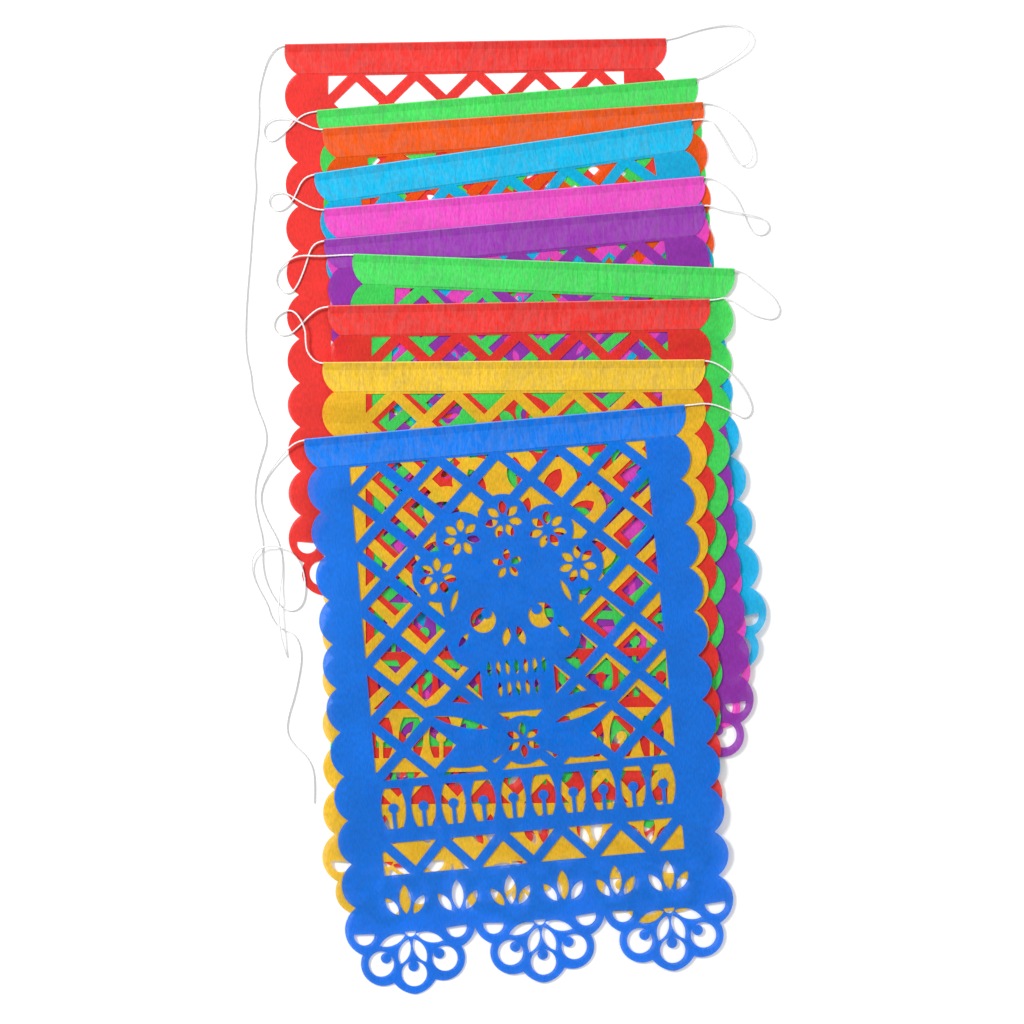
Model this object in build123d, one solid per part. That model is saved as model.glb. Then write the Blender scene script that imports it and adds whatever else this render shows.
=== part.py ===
from build123d import *
from math import ceil, cos, floor, pi, radians, sin, sqrt, tan
import os

# A papel picado banner: ten sheets of cut tissue paper, each with its top edge folded
# over one long string and glued, fanned in a pile on a flat surface.
# Sizes are millimetres and degrees. +X is the reader's right, +Y points at the first
# sheet's hem, +Z is up, and the origin is on the surface under the middle of the sheets.
# A sheet is drawn in its own frame: x from its middle, depth measured down from its fold.

# Sheet
sheet_length = 505.0          # fold to the lowest lobe
sheet_width = 349.0           # over the side lobes at the foot
hem_gather = 6.0              # how much narrower the sheet is at its fold, on the string
paper = 0.1                   # thickness
level_step = 0.4              # rise from one sheet to the next in the pile

# Hem
flap_depth = 27.0             # how far the glued flap comes down
flap_cusp = 15.0              # depth of the notch in the flap's side
flap_inset = 9.5              # how far that notch is cut in
flap_bow = (2.1, 8.25)        # a point on the flap's rounded end: how far in, and its depth
tunnel_run = 6.0              # from the string to where the flap lies flat
string_diameter = 1.7
string_room = 0.25            # all round the string in its fold

# Side scallops
scallop_pitch = 39.5
scallop_inset = 10.8          # lobe to cusp
first_cusp = 27.0             # depth of the first cusp
last_cusp_rise = 82.0         # last cusp above the lowest lobe
skirt_drop = 2.0              # widest point of the last lobe under the flowers' line

# Lattice window
side_border = 39.0            # side lobes to the window
window_top_gap = 2.0          # flap to the window
lattice_pitch_x = 53.5
lattice_pitch_y = 51.4
lattice_strip = 9.2
smallest_opening = 14.0       # area under which a sliver of lattice is left uncut

# Bands of openings under the window, each measured up from the lowest lobe
window_foot = 194.0
panel_rise = 150.0            # foot of the row of urns
panel_height = 36.5
urn_count = 10
urn_gap = 5.0
urn_neck = 0.62               # neck's share of the belly
urn_knob = 0.42               # knob's share of the belly
urn_stem = 0.8                # stem's share of the knob's radius
zigzag_rise = 108.5
zigzag_height = 28.7
zigzag_count = 5
zigzag_strip = 8.8
zigzag_end = 0.04             # share of a tooth that is cut short at each end
leaf_rise = 86.0              # middle of the row of leaf sprays
leaf_pitch = 47.4
leaf_margin = 30.0            # side lobes to the first spray's share of the row
leaf_size = (26.8, 10.4)      # length and width of the upright leaf
side_leaf_foot = (6.7, 13.6)  # from the spray's middle: across, and down
side_leaf_tip = (17.4, -2.4)
side_leaf_width = 8.0

# Flower border
field_rise = 58.5             # lowest lobe to the line that the flowers hang from
flower_room = 116.0           # least width of one flower of the border
ring_hole_radius = 11.3
ring_band = 7.2
ring_spread = 28.7            # side ring from the flower's middle
ring_lift = 11.3              # side ring above the lowest ring
ring_cusp_turn = 31.0         # where a side petal meets its ring, above the ring's middle
notch_reach = 0.65            # notch between side and lowest ring: share of the spread
notch_fall = 0.37             # and, below the lowest ring's middle, share of its radius
knob_radius = 4.8
knob_root = 0.3               # how far the knob's circle laps past the ring's edge
field_edge = 1.8              # from the flowers' line to their cuts
petal_foot = (2.3, 7.0)       # lower petal, from the cuts' line at the flower's middle
petal_reach = 11.5            # its tip, across
petal_width = 10.0
petal_gap = 3.7               # from its tip to the lowest ring's hole
side_petal_foot = (4.9, 2.6)
side_petal_reach = 28.4
side_petal_width = 9.0
side_petal_gap = 5.0          # from its tip to the side ring's hole
slice_ends = (32.4, 50.6)     # corner slice, across from the flower's middle
slice_rise = (0.3, 1.6)       # its ends above the cuts' line
slice_belly = (43.6, 8.6)     # its lowest point
moon_width = 10.0
moon_depth = 4.6
gap_apex = 3.0                # from the flowers' line to the top of the gap between two
gap_bow = 0.37                # half way up that gap: share of half its width at the foot
gap_bow_drop = 2.0

# Motif in the window
motif_drop = 168.0            # fold to the motif's middle

# Where each sheet lies: fold's middle, turn from the reader's level, motif
places = [
    ("sheet_01_red", -45.5, 422.5, 0.9, "sun"),
    ("sheet_02_green", -17.5, 375.0, 4.9, "heart"),
    ("sheet_03_orange", -12.0, 356.0, 4.0, "vase"),
    ("sheet_04_cyan", -21.0, 328.0, 8.2, "rosette"),
    ("sheet_05_pink", -11.0, 286.5, 4.9, "skull"),
    ("sheet_06_purple", -11.0, 260.0, 5.3, "sun"),
    ("sheet_07_green", 16.0, 225.0, -2.2, "heart"),
    ("sheet_08_red", -6.5, 188.0, 1.0, "vase"),
    ("sheet_09_yellow", -11.0, 135.5, 0.4, "rosette"),
    ("sheet_10_blue", -28.5, 81.0, 5.2, "skull"),
]

# Middle of the sheets' box in the coordinates of these places and of the string's points
middle_x = -0.8
middle_y = -3.6

# Sizes that follow
hem_width = sheet_width - hem_gather
fold_radius = string_diameter / 2 + string_room + paper
field_depth = sheet_length - field_rise
ring_lobe_radius = ring_hole_radius + ring_band
ring_depth = sheet_length - ring_lobe_radius
side_ring_depth = ring_depth - ring_lift
flower_count = floor(sheet_width / flower_room)
flower_pitch = sheet_width / flower_count
leaf_count = floor((sheet_width - 2 * leaf_margin) / leaf_pitch)


def half_width(depth):
    """Half the sheet's width over its side lobes, at a depth below the fold."""
    return (hem_width + hem_gather * depth / sheet_length) / 2


def at(x, depth):
    return Vector(x, -depth)


def mirrored(shapes):
    """The shapes with their mirror images in the sheet's middle line."""
    return shapes + [mirror(shape, about=Plane.YZ) for shape in shapes]


def outline_face(edges):
    return make_face(Curve() + edges).face()


def lens(tip_a, tip_b, width):
    """A leaf between two tips, its widest in the middle."""
    middle = (tip_a + tip_b) / 2
    side = (tip_b - tip_a).normalized().rotate(Axis.Z, 90) * width / 2
    return outline_face(
        [ThreePointArc(tip_a, middle + side, tip_b), ThreePointArc(tip_b, middle - side, tip_a)]
    )


def disc(x, depth, radius):
    return Pos(x, -depth) * Circle(radius).face()


def polygon(*corners):
    return make_face(Polyline(*corners, close=True)).face()


# ---- outline ----


def side_cusps():
    """Depths of the cusps down one side."""
    last = sheet_length - last_cusp_rise
    steps = round((last - first_cusp) / scallop_pitch)
    return [first_cusp + (last - first_cusp) * i / steps for i in range(steps + 1)]


def scallop_start():
    """The side lobe that the fold cuts short: where it starts and a point half down it."""
    radius = (scallop_pitch ** 2 / 4 + scallop_inset ** 2) / (2 * scallop_inset)
    middle = first_cusp - scallop_pitch / 2
    points = []
    for depth in (fold_radius, (fold_radius + first_cusp) / 2):
        drop = radius - sqrt(radius ** 2 - (depth - middle) ** 2)
        points.append(at(half_width(depth) - drop, depth))
    return points


def right_side():
    """Edges from the fold down the right side to the outer flower's ring."""
    start, bulge = scallop_start()
    cusps = side_cusps()
    corner = at(half_width(first_cusp) - scallop_inset, first_cusp)
    edges = [ThreePointArc(start, bulge, corner)]
    for upper, lower in zip(cusps, cusps[1:]):
        middle = (upper + lower) / 2
        foot = at(half_width(lower) - scallop_inset, lower)
        edges.append(ThreePointArc(corner, at(half_width(middle), middle), foot))
        corner = foot
    ring = flower_point(flower_span()[-1], *ring_cusp())
    skirt = at(half_width(field_depth), field_depth + skirt_drop)
    edges.append(ThreePointArc(corner, skirt, ring))
    return edges


def ring_cusp():
    """Where the side petal of a flower meets its side ring."""
    out = ring_lobe_radius * cos(radians(ring_cusp_turn))
    up = ring_lobe_radius * sin(radians(ring_cusp_turn))
    return ring_spread + out, side_ring_depth - up


def flower_point(flower, x, depth):
    """A point of one flower of the row, from that flower's middle line."""
    return at(flower * flower_pitch + x, depth)


def flower_edges(flower, sign):
    """Edges round one half of a flower: ring lobe and half of the lowest lobe."""
    cusp_x, cusp_depth = ring_cusp()
    notch_x = ring_spread * notch_reach
    notch_depth = ring_depth + ring_lobe_radius * notch_fall
    reach = ring_lobe_radius * sqrt(0.5)
    outer = flower_point(flower, sign * cusp_x, cusp_depth)
    far = flower_point(flower, sign * (ring_spread + reach), side_ring_depth + reach)
    notch = flower_point(flower, sign * notch_x, notch_depth)
    low = flower_point(flower, sign * reach, ring_depth + reach)
    bottom = flower_point(flower, 0, sheet_length)
    return [ThreePointArc(outer, far, notch), ThreePointArc(notch, low, bottom)]


def flower_span():
    """Flower numbers of the row, the middle flower being 0."""
    middle = (flower_count - 1) / 2
    return [i - middle for i in range(flower_count)]


def flower_gap(flower):
    """Edges of the narrow gap between this flower and the one to its right."""
    cusp_x, cusp_depth = ring_cusp()
    left = flower_point(flower, cusp_x, cusp_depth)
    right = flower_point(flower + 1, -cusp_x, cusp_depth)
    top = (left.X + right.X) / 2
    apex = at(top, field_depth + gap_apex)
    bow_depth = (field_depth + gap_apex + cusp_depth) / 2 + gap_bow_drop
    bow = gap_bow * (right.X - left.X) / 2
    left_bow = at(top - bow, bow_depth)
    right_bow = at(top + bow, bow_depth)
    return [ThreePointArc(left, left_bow, apex), ThreePointArc(apex, right_bow, right)]


def sheet_outline():
    """The wire round one sheet, below its fold."""
    right = right_side()
    left = [mirror(edge, about=Plane.YZ) for edge in right]
    foot = []
    for flower in flower_span():
        foot += flower_edges(flower, -1) + flower_edges(flower, 1)
        if flower < flower_span()[-1]:
            foot += flower_gap(flower)
    start = scallop_start()[0]
    fold = Line(at(-start.X, -start.Y), start)
    return Wire([edge.edge() for edge in [fold] + right + left + foot])


# ---- openings ----


def window_corners():
    top = flap_depth + window_top_gap
    foot = sheet_length - window_foot
    top_half = half_width(top) - side_border
    foot_half = half_width(foot) - side_border
    return [at(-top_half, top), at(top_half, top), at(foot_half, foot), at(-foot_half, foot)]


def lattice_cells():
    """The diamonds between the lattice's strips, clipped to the window."""
    foot = sheet_length - window_foot
    width = 2 * (half_width(foot) - side_border)
    columns = round(width / lattice_pitch_x)
    pitch_x = width / columns
    height = foot - flap_depth - window_top_gap
    rows = ceil(2 * height / lattice_pitch_y)
    long_side = sqrt(pitch_x ** 2 + lattice_pitch_y ** 2) / 2
    reach = pitch_x * lattice_pitch_y / 4 / long_side
    scale = 1 - lattice_strip / 2 / reach
    across = pitch_x / 2 * scale
    down = lattice_pitch_y / 2 * scale
    diamonds = []
    for row in range(rows + 1):
        for column in range(-columns, columns + 1):
            if (row + column + columns) % 2 == 1:
                middle = at(column * pitch_x / 2, foot - row * lattice_pitch_y / 2)
                sides = [Vector(across, 0), Vector(0, down), Vector(-across, 0), Vector(0, -down)]
                diamonds.append(polygon(*[middle + side for side in sides]))
    return (Sketch() + diamonds) & polygon(*window_corners())


def urn_row():
    """The panel under the window: urn-shaped openings with a knob in each."""
    foot = sheet_length - panel_rise
    middle = foot - panel_height / 2
    half = half_width(foot) - side_border
    pitch = 2 * half / urn_count
    belly = (pitch - urn_gap) / 2
    neck = belly * urn_neck
    knob = belly * urn_knob
    openings = []
    for i in range(urn_count):
        x = -half + pitch * (i + 0.5)
        top = foot - panel_height
        urn = outline_face(
            [
                Line(at(x - neck, top), at(x + neck, top)),
                ThreePointArc(at(x + neck, top), at(x + belly, middle), at(x + neck, foot)),
                Line(at(x + neck, foot), at(x - neck, foot)),
                ThreePointArc(at(x - neck, foot), at(x - belly, middle), at(x - neck, top)),
            ]
        )
        stem = Pos(x, -(foot + middle) / 2) * Rectangle(knob * urn_stem, foot - middle + 1)
        openings.append((Sketch() + urn - disc(x, middle, knob) - stem).face())
    return openings


def zigzag_band():
    """Triangles pointing down and up, with a zigzag strip of paper between them."""
    foot = sheet_length - zigzag_rise
    top = foot - zigzag_height
    half = half_width(foot) - side_border
    pitch = 2 * half / (zigzag_count + 2 * zigzag_end)
    slope = sqrt(zigzag_height ** 2 + pitch ** 2 / 4)
    base = pitch / 2 - zigzag_strip / 2 * slope / zigzag_height
    height = base * zigzag_height / (pitch / 2)
    triangles = []
    for i in range(zigzag_count):
        x = (i - (zigzag_count - 1) / 2) * pitch
        triangles.append(polygon(at(x - base, top), at(x + base, top), at(x, top + height)))
    for i in range(zigzag_count + 1):
        x = (i - zigzag_count / 2) * pitch
        triangles.append(polygon(at(x - base, foot), at(x + base, foot), at(x, foot - height)))
    frame = Pos(0, -(top + foot) / 2) * Rectangle(2 * half, zigzag_height)
    return ((Sketch() + triangles) & frame).faces()


def leaf_sprays():
    """A row of sprays, each of an upright leaf and two that lean out."""
    middle = sheet_length - leaf_rise
    length, width = leaf_size
    foot_x, foot_drop = side_leaf_foot
    tip_x, tip_drop = side_leaf_tip
    leaves = []
    for i in range(leaf_count):
        x = (i - (leaf_count - 1) / 2) * leaf_pitch
        leaves.append(lens(at(x, middle - length / 2), at(x, middle + length / 2), width))
        for sign in (-1, 1):
            foot = at(x + sign * foot_x, middle + foot_drop)
            tip = at(x + sign * tip_x, middle + tip_drop)
            leaves.append(lens(foot, tip, side_leaf_width))
    return leaves


def ring_opening(x, depth, knob_side):
    """A round hole with a round-ended tongue of paper poking into it."""
    reach = ring_hole_radius + knob_root - knob_radius
    knob = at(x, depth) + knob_side.normalized() * reach
    return (Sketch() + disc(x, depth, ring_hole_radius) - Pos(knob) * Circle(knob_radius)).face()


def flower_openings(flower):
    """The cuts in one flower: rings, petals, corner slices and a half moon."""
    top = field_depth + field_edge
    tip_drop = sqrt((ring_hole_radius + petal_gap) ** 2 - petal_reach ** 2)
    tip = at(petal_reach, ring_depth - tip_drop)
    side_tip = at(side_petal_reach, side_ring_depth - ring_hole_radius - side_petal_gap)
    inner = at(slice_ends[0], top - slice_rise[0])
    outer = at(slice_ends[1], top - slice_rise[1])
    belly = at(slice_belly[0], top + slice_belly[1])
    right_cuts = [
        lens(at(petal_foot[0], top + petal_foot[1]), tip, petal_width),
        lens(at(side_petal_foot[0], top + side_petal_foot[1]), side_tip, side_petal_width),
        ring_opening(ring_spread, side_ring_depth, Vector(-1, 1)),
        outline_face([Line(inner, outer), ThreePointArc(outer, belly, inner)]),
    ]
    left_end = at(-moon_width / 2, top)
    right_end = at(moon_width / 2, top)
    moon = ThreePointArc(right_end, at(0, top + moon_depth), left_end)
    middle_cuts = [
        ring_opening(0, ring_depth, Vector(0, 1)),
        outline_face([Line(left_end, right_end), moon]),
    ]
    return [Pos(flower * flower_pitch, 0) * cut for cut in mirrored(right_cuts) + middle_cuts]


# ---- motifs, each a solid figure and the cuts in it, about the motif's middle ----


def petals(x, y, inner, outer, width, count, turn=0.0):
    """Leaf-shaped cuts that point out from a middle."""
    cuts = []
    for i in range(count):
        way = Vector(0, 1).rotate(Axis.Z, turn + 360 * i / count)
        cuts.append(lens(Vector(x, y) + way * inner, Vector(x, y) + way * outer, width))
    return cuts


def spot(x, y, radius):
    return disc(x, -y, radius)


def skull():
    """A calavera with a crown of marigolds, over a spray of leaves."""
    crown = [Vector(0, 14) + Vector(0, 66).rotate(Axis.Z, 36 * i) for i in range(-2, 3)]
    solids = [spot(0, 14, 62), spot(0, -118, 22)]
    solids += mirrored([spot(36, -26, 24), lens(Vector(6, -112), Vector(92, -84), 34)])
    solids += mirrored([lens(Vector(8, -120), Vector(74, -134), 20)])
    solids.append(Pos(0, -62) * RectangleRounded(66, 60, 15).face())
    solids += [spot(flower.X, flower.Y, 23) for flower in crown]
    cuts = mirrored([ring_opening(26, 8, Vector(-0.6, 1)), lens(Vector(4, -16), Vector(9, -33), 7)])
    cuts += mirrored([lens(Vector(40, -18), Vector(50, -30), 5), lens(Vector(46, 22), Vector(54, 2), 5)])
    cuts += petals(0, 40, 3.5, 14, 6, 5)
    for row, half in ((-52, 3), (-71, 2)):
        for i in range(-half, half + 1):
            cuts.append(lens(Vector(8.2 * i, row - 7), Vector(8.2 * i, row + 7), 4))
    for flower in crown:
        cuts += petals(flower.X, flower.Y, 5, 17, 7, 7)
    cuts += petals(0, -118, 4, 16, 6, 6)
    cuts += mirrored([lens(Vector(30, -105), Vector(78, -90), 8)])
    return solids, cuts


def sun():
    """A sun face with long and short rays."""
    rays = []
    for i in range(16):
        way = Vector(0, 1).rotate(Axis.Z, 22.5 * i)
        side = way.rotate(Axis.Z, 90) * 12
        reach = 98 if i % 2 == 0 else 84
        rays.append(polygon(way * 50 + side, way * reach, way * 50 - side))
    solids = [spot(0, 0, 60)] + rays
    cuts = mirrored([ring_opening(21, -12, Vector(-0.6, 1)), lens(Vector(30, -14), Vector(12, -28), 6)])
    cuts += [lens(Vector(0, 4), Vector(0, -12), 6), lens(Vector(-10, -36), Vector(10, -36), 6)]
    cuts += petals(0, 0, 42, 55, 6, 16, 11.25)
    cuts += petals(0, 0, 62, 80, 5, 8)
    return solids, cuts


def heart():
    """A flaming heart with leaves at its sides."""
    lobe = 40
    point = Vector(0, -84)
    solids = mirrored([spot(33, 14, lobe), lens(Vector(58, -20), Vector(104, 20), 26)])
    solids.append(polygon(point, Vector(66, -9), Vector(30, 30), Vector(-30, 30), Vector(-66, -9)))
    solids.append(lens(Vector(0, 20), Vector(0, 100), 30))
    solids += mirrored([lens(Vector(10, 24), Vector(38, 84), 22)])
    cuts = petals(0, -8, 7, 25, 9, 8) + petals(0, -8, 31, 45, 7, 10, 18)
    cuts += [lens(Vector(0, 52), Vector(0, 84), 9), lens(Vector(0, -74), Vector(0, -60), 5)]
    cuts += mirrored([lens(Vector(20, 54), Vector(32, 74), 6), lens(Vector(70, -8), Vector(94, 12), 7)])
    return solids, cuts


def vase():
    """A footed vase with three flowers and their leaves."""
    neck = [Vector(24, -18), Vector(18, -32), Vector(38, -58), Vector(26, -92), Vector(36, -104)]
    around = neck + [Vector(-corner.X, corner.Y) for corner in reversed(neck)]
    solids = [polygon(*around), spot(0, 52, 34), Rectangle(9, 90).face()]
    solids += mirrored([spot(56, 22, 25), lens(Vector(4, -24), Vector(54, 24), 12)])
    solids += mirrored([lens(Vector(10, -14), Vector(86, -24), 22)])
    cuts = petals(0, 52, 8, 27, 10, 8) + mirrored(petals(56, 22, 6, 19, 8, 6))
    cuts += mirrored([lens(Vector(36, -18), Vector(70, -22), 7)])
    cuts += petals(0, -60, 4, 15, 7, 6)
    cuts += [lens(Vector(6 * i, -82), Vector(6 * i, -96), 3.4) for i in range(-3, 4)]
    return solids, cuts


def rosette():
    """Rings of petals round a flower."""
    rim = [Vector(0, 70).rotate(Axis.Z, 30 * i) for i in range(12)]
    solids = [spot(0, 0, 74)] + [spot(bump.X, bump.Y, 21) for bump in rim]
    cuts = petals(0, 0, 6, 22, 8, 8) + petals(0, 0, 28, 47, 9, 12, 15)
    cuts += petals(0, 0, 54, 82, 14, 12)
    return solids, cuts


motifs = {"skull": skull, "sun": sun, "heart": heart, "vase": vase, "rosette": rosette}


# ---- one sheet ----


def openings(motif):
    """Every cut in a sheet, as faces that don't touch."""
    solids, cuts = motifs[motif]()
    move = Pos(0, -motif_drop)
    figure = Sketch() + [move * solid for solid in solids]
    lattice = (lattice_cells() - figure).faces()
    shapes = [cell for cell in lattice if cell.area > smallest_opening]
    shapes += [move * cut for cut in cuts]
    shapes += urn_row() + zigzag_band() + leaf_sprays()
    for flower in flower_span():
        shapes += flower_openings(flower)
    return shapes


def hem():
    """The folded edge: a tunnel for the string, which slopes down to a flap glued flat."""
    inner = fold_radius - paper
    top = 2 * fold_radius
    slope_end = -(fold_radius + tunnel_run)
    back = -fold_radius
    section = make_face(
        Curve()
        + [
            ThreePointArc((back, 0), (0, fold_radius), (back, top)),
            Polyline((back, top), (slope_end, 2 * paper), (-flap_depth, 2 * paper)),
            Polyline((-flap_depth, 2 * paper), (-flap_depth, paper), (slope_end, paper)),
            Line((slope_end, paper), (back, top - paper)),
            ThreePointArc((back, top - paper), (back + inner, fold_radius), (back, paper)),
            Line((back, paper), (back, 0)),
        ]
    )
    strip = extrude(Plane.YZ * section, amount=hem_width / 2, both=True)
    return strip & extrude(flap_face(), amount=top + 1, dir=(0, 0, 1))


def flap_face():
    """The flap as seen from above, with a notch in each side."""
    start = scallop_start()[0]
    notch = at(start.X - flap_inset, flap_cusp)
    bulge = at(start.X - flap_bow[0], flap_bow[1])
    foot = at(start.X - scallop_inset, flap_depth)
    side = [
        Line(Vector(start.X, 1), start),
        ThreePointArc(start, bulge, notch),
        Line(notch, foot),
    ]
    ends = [Line(Vector(-start.X, 1), Vector(start.X, 1)), Line(at(-foot.X, flap_depth), foot)]
    return outline_face(ends + mirrored(side))


def sheet(motif):
    """One cut sheet, lying flat, with its hem folded over the top."""
    holes = [face.outer_wire() for shape in openings(motif) for face in shape.faces()]
    plate = extrude(Face(sheet_outline(), holes), amount=paper, dir=(0, 0, 1))
    return (plate + hem()).solid()


# ---- string ----

# The string is one length. It leaves the first sheet's left end as the long tail, goes
# through the folds in turn, and leaves the last sheet's left end as the short tail.
# Each point is its reach past the hem's nominal end, its Y, its rise in sheet levels
# and, at a crossing, how many diameters it is lifted over the strand below.
beyond_hem = 8.0              # the string runs straight this far past each fold
arc_share = 0.45              # of the shorter run at a corner, the most that its arc takes

long_tail = [
    (59.5, 409, 1), (65, 392.5, 0), (69, 373.5, 0), (68.3, 352.5, 0), (70, 332, 0),
    (73, 312, 0), (70.5, 291, 0), (74, 264, 0), (76, 231, 0), (79, 197, 0),
    (80.7, 166, 0), (80, 141, 0), (75.5, 123.5, 0), (74.5, 108, 0), (69.5, 91.5, 0),
    (63, 77, 0), (61, 62, 0), (66.5, 46, 0), (71.5, 28, 0), (72.5, 9, 0),
    (69, -9, 0), (64.5, -25, 0), (65.5, -42, 0), (63.5, -58, 0), (58, -72, 0),
    (50, -84, 0), (39, -90, 0.5), (29.5, -84.5, 0.6), (26, -71, 0.6), (27.5, -55, 0.8),
    (32.5, -42.5, 4), (42, -33.5, 0.5, 2.3), (55.5, -29.5, 0.5, 2.3), (69, -33, 0.5, 2.3),
    (75, -44, 4), (73.5, -58, 0.5), (67.5, -71, 0), (60.5, -83, 0), (57, -95.5, 0),
    (49.5, -104.5, 0), (39, -107.5, 0), (32, -117, 0), (30, -131, 0), (32.5, -147, 0),
    (36.5, -166, 0), (42.5, -184, 0), (43.5, -199, 0), (36, -210, 0), (25.5, -219, 0),
    (19.5, -230.5, 0), (18.3, -246, 0), (18.8, -261, 0),
]
loops = [
    [
        (-23.5, 430.5, 0.5), (-6.5, 435, 2), (9.5, 437.5, 5), (22.5, 435.5, 9),
        (29.5, 427, 11), (27.5, 417.5, 10), (18.5, 409, 7), (4.5, 399.5, 3),
    ],
    [
        (31, 355, 1.2), (39.5, 345.5, 0.8), (48.5, 337, 0.2), (56.5, 331.5, 0), (63.5, 336, 0),
        (64, 345, 0), (57.5, 353, 4), (42, 354, 1, 2.2), (28, 347.5, 1, 2.2),
    ],
    [
        (6.5, 362, 2), (19, 350.5, 3), (28.5, 337, 5), (32, 322, 8), (30, 313.5, 9),
        (23, 309.5, 9), (15.5, 314.5, 8), (9, 326.5, 6), (2, 340, 4.5), (-6, 352, 3.4),
    ],
    [
        (30.5, 295.5, 2.2), (34, 287, 1.1), (40, 275.5, 0.9), (49.5, 269, 0), (58, 272.5, 0),
        (60, 281, 1), (54, 287.5, 4.2), (43, 285.8, 1, 2.2), (28.5, 276, 1.2, 2.2),
    ],
    [
        (5.5, 293.5, 3.5), (15.5, 284, 2), (22, 272.5, 0.3), (26.5, 260, 0), (31.5, 250.5, 0),
        (41, 247.5, 0.2), (47.5, 254, 0.5), (43, 262.5, 3), (31.5, 265.8, 0, 2.2),
        (16.5, 269, 0.5, 2.2), (6.5, 270.2, 6.3), (0, 272, 5.9),
    ],
    [
        (21.5, 236.5, 3), (24.5, 226.5, 1), (28.5, 214.5, 0.7), (33.5, 203, 0.6),
        (39.5, 195.5, 0.6), (48, 197.5, 0), (53.5, 206, 0), (51, 216.5, 0.2), (43, 225, 4.2),
        (31, 230, 1.2, 2.2), (15.5, 229, 1.4, 2.2), (3.5, 229.5, 8),
    ],
    [
        (31.5, 207.5, 4.5), (42.5, 200, 1.5), (52.5, 190.5, 0), (57, 180, 0), (51.5, 172.5, 0),
        (40.5, 174, 1), (28.5, 178.5, 4.4), (17.5, 186.5, 7.4), (7.5, 192.5, 8.1),
    ],
    [
        (20.5, 178.5, 4.5), (33, 165, 1.2), (41, 158.5, 0.5), (50, 158.5, 0), (55.5, 165.5, 0),
        (53, 174.5, 0), (45.5, 180, 0.8), (39, 181, 4.5), (32.5, 176.5, 1.5, 2.4),
        (26, 163.5, 1.5, 2.4), (26, 152, 8.6), (24.5, 142.5, 8.6),
    ],
    [
        (7.5, 128.5, 8.4), (19, 117, 6.4), (28, 103.5, 2), (32, 91, 0), (25.5, 83, 1),
        (15, 88.5, 6.9), (3, 94.5, 9), (-9.5, 97.5, 10),
    ],
]
short_tail = [
    (42.5, 56.5, 7), (52.5, 44.5, 3), (61.5, 31.5, 0.6), (67, 17.5, 0), (66, 3.5, 0),
    (60, -10, 0), (52, -23.5, 0), (47.5, -38.5, 0), (47, -55, 1), (49, -68, 4),
    (49.5, -77, 0.5, 2.3), (50.5, -91, 0.5, 2.3), (48, -111, 0.5, 2.3), (45.5, -121, 4),
    (43, -130, 0),
]


def place_sheet(index):
    """Where a sheet lies in the pile, as a location."""
    x, y, turn = places[index][1:4]
    return Pos(x - middle_x, y - middle_y, index * level_step) * Rot(0, 0, turn)


def fold_end(index, side):
    """The string's line through a fold, just past its left (-1) or right (1) end."""
    reach = scallop_start()[0].X + beyond_hem
    return (place_sheet(index) * Pos(side * reach, -fold_radius, fold_radius)).position


def free_points(stretch, side):
    """The points of a tail or loop that lies to the left (-1) or right (1) of the pile."""
    points = []
    for out, y, levels, *lift in stretch:
        x = side * (hem_width / 2 + out) - middle_x
        rise = levels * level_step + sum(lift) * string_diameter
        points.append(Vector(x, y - middle_y, string_diameter / 2 + rise))
    return points


def string_points():
    points = free_points(reversed(long_tail), -1)
    side = -1
    for index in range(len(places)):
        points += [fold_end(index, side), fold_end(index, -side)]
        side = -side
        if index < len(loops):
            points += free_points(loops[index], side)
    return points + free_points(short_tail, -1)


def corner_radii(points):
    """The largest arc that each corner's two runs allow."""
    radii = []
    for before, here, after in zip(points, points[1:], points[2:]):
        turn = (here - before).get_angle(after - here)
        shorter = min((here - before).length, (after - here).length)
        radii.append(arc_share * shorter / tan(radians(turn / 2)))
    return radii


def string():
    points = string_points()
    radii = corner_radii(points)
    print("string radii", [round(radius, 1) for radius in radii])
    path = FilletPolyline(*points, radius=radii)
    section = Plane(origin=path @ 0, z_dir=path % 0) * Circle(string_diameter / 2)
    tube = sweep(section, path=path)
    expected = pi * string_diameter ** 2 / 4 * path.length
    print("string length", round(path.length), "volume", tube.volume / expected)
    return tube


os.makedirs("parts", exist_ok=True)
patterns = {name: sheet(name) for name in motifs}
for index, (name, *where, motif) in enumerate(places):
    export_step(place_sheet(index) * patterns[motif], f"parts/{name}.step")
export_step(string(), "parts/string.step")
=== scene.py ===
import math

import bmesh
import bpy
import numpy as np
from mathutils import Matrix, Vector
from mathutils.kdtree import KDTree


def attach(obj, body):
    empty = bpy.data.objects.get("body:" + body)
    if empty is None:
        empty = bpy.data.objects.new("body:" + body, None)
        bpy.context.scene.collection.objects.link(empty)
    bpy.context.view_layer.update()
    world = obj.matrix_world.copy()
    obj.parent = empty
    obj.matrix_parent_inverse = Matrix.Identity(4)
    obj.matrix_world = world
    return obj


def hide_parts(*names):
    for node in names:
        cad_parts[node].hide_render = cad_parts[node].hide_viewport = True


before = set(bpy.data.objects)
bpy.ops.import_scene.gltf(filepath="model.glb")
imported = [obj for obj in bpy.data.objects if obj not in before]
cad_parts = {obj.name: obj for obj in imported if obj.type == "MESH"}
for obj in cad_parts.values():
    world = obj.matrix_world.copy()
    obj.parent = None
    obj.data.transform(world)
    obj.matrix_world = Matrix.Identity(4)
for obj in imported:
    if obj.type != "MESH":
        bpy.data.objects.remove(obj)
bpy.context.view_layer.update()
mm = 0.001

# the camera looks straight down on the pile
view = {"over": (-0.0118, 0.0036), "height": 2.17, "lens": 85, "sensor": 36}

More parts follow.
